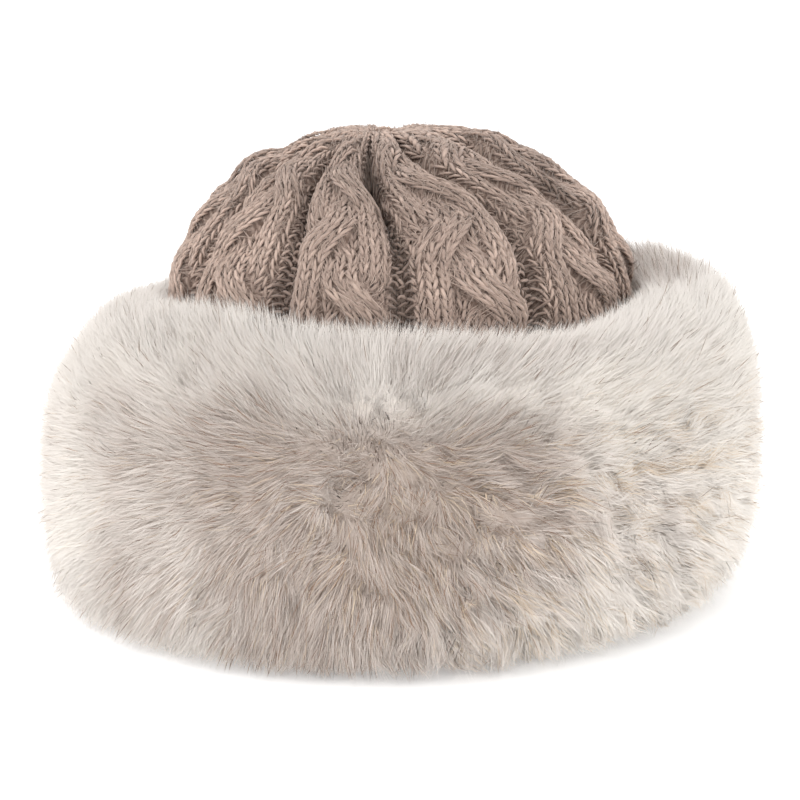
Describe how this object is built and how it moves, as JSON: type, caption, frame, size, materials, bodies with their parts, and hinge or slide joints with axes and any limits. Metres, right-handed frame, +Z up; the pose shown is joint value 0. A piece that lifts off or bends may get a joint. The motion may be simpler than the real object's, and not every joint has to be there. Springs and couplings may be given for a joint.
{
  "type": "knit hat",
  "caption": "Adult winter hat: cable-knitted domed crown drawn in at the top, standing in a deep, rounded faux-fur cuff; open underneath for the head.",
  "frame": {"origin": "on the ground under the middle of the hat", "axes": "+Z up through the crown, +Y towards the back of the head, so -Y is the hat's front"},
  "size_m": [0.2794, 0.2952, 0.1742],
  "materials": {
    "yarn": "brushed taupe wool-blend yarn, matt",
    "fur": "long soft pile, cream tips over a taupe undercoat"
  },
  "bodies": {
    "root": {"knit_crown": "yarn", "fur_cuff": "fur"}
  },
  "joints": []
}
